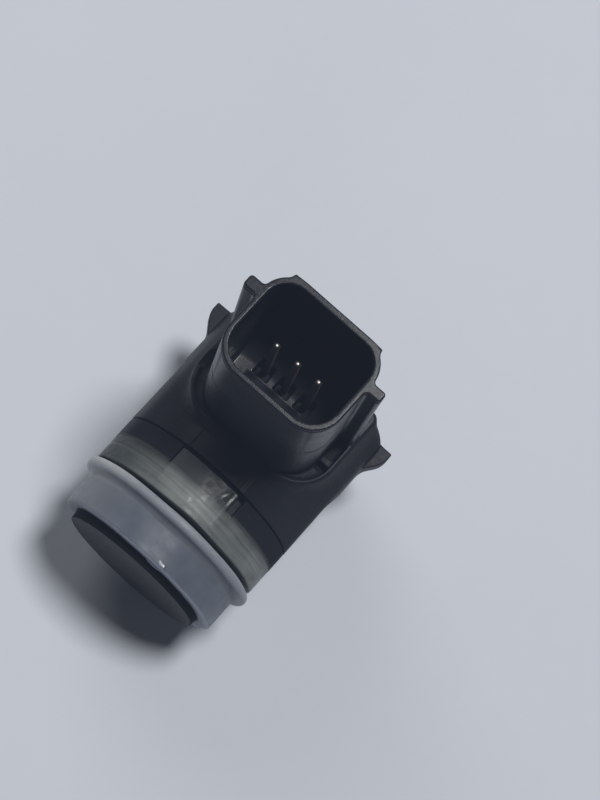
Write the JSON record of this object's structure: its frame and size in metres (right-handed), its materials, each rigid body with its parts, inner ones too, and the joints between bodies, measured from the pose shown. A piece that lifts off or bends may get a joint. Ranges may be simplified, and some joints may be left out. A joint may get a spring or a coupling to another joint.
{
  "type": "ultrasonic distance sensor",
  "caption": "Round ultrasonic distance sensor with a silicone decoupling ring round its face, snap barbs and an upright connector shroud.",
  "frame": {"origin": "centre of the sounding face", "axes": "-Y is the beam direction, +Y runs back along the body, +Z is the way the connector stands, +X is to the right when looking along +Y"},
  "size_m": [0.0232, 0.0263, 0.0388],
  "materials": {
    "pot_coating": "smooth matt dark coating on aluminium",
    "piezo_ceramic": "fired ceramic",
    "felt": "pressed felt",
    "white_silicone": "cast silicone",
    "wire_red": "enamel",
    "wire_black": "enamel",
    "clear_silicone": "satin translucent silicone with a bluish cast",
    "green_silicone": "satin translucent silicone with a grey-green cast",
    "collar_plastic": "fine moulded texture",
    "seal_rubber": "moulded",
    "housing_plastic": "fine moulded texture, worn lighter at the edges",
    "carrier_plastic": "moulded",
    "tinned_pin": "tin plated",
    "board_laminate": "solder mask",
    "chip_resin": "moulded resin",
    "tinned_lead": "tin plated",
    "ferrite": "sintered",
    "copper_wire": "enamelled wire",
    "capacitor_can": "drawn can",
    "capacitor_ceramic": "fired ceramic",
    "resistor_ceramic": "coated ceramic",
    "crystal_can": "nickel plated",
    "solder": "bright solder",
    "potting_resin": "cast resin",
    "cover_plastic": "fine moulded texture"
  },
  "bodies": {
    "sensor": {"membrane_pot": "pot_coating", "piezo_disc": "piezo_ceramic", "damping_felt": "felt", "pot_filler": "white_silicone", "lead_wire_signal": "wire_red", "lead_wire_ground": "wire_black", "inner_ring": "green_silicone", "retaining_collar": "collar_plastic", "housing_seal": "seal_rubber", "housing": "housing_plastic", "terminal_carrier": "carrier_plastic", "terminal_pin_left": "tinned_pin", "terminal_pin_middle": "tinned_pin", "terminal_pin_right": "tinned_pin", "circuit_board": "board_laminate", "control_chip": "chip_resin", "chip_leads": "tinned_lead", "transformer_core": "ferrite", "transformer_winding": "copper_wire", "storage_capacitor": "capacitor_can", "chip_capacitors": "capacitor_ceramic", "chip_resistors": "resistor_ceramic", "timing_crystal": "crystal_can", "solder_joints": "solder", "potting_compound": "potting_resin", "rear_cover": "cover_plastic"},
    "decoupling_ring": {"decoupling_ring": "clear_silicone"}
  },
  "joints": [
    {"name": "decoupling_ring_pull", "type": "slide", "parent": "sensor", "child": "decoupling_ring", "axis": [0, -1, 0], "range_m": [0, 0.008]}
  ]
}
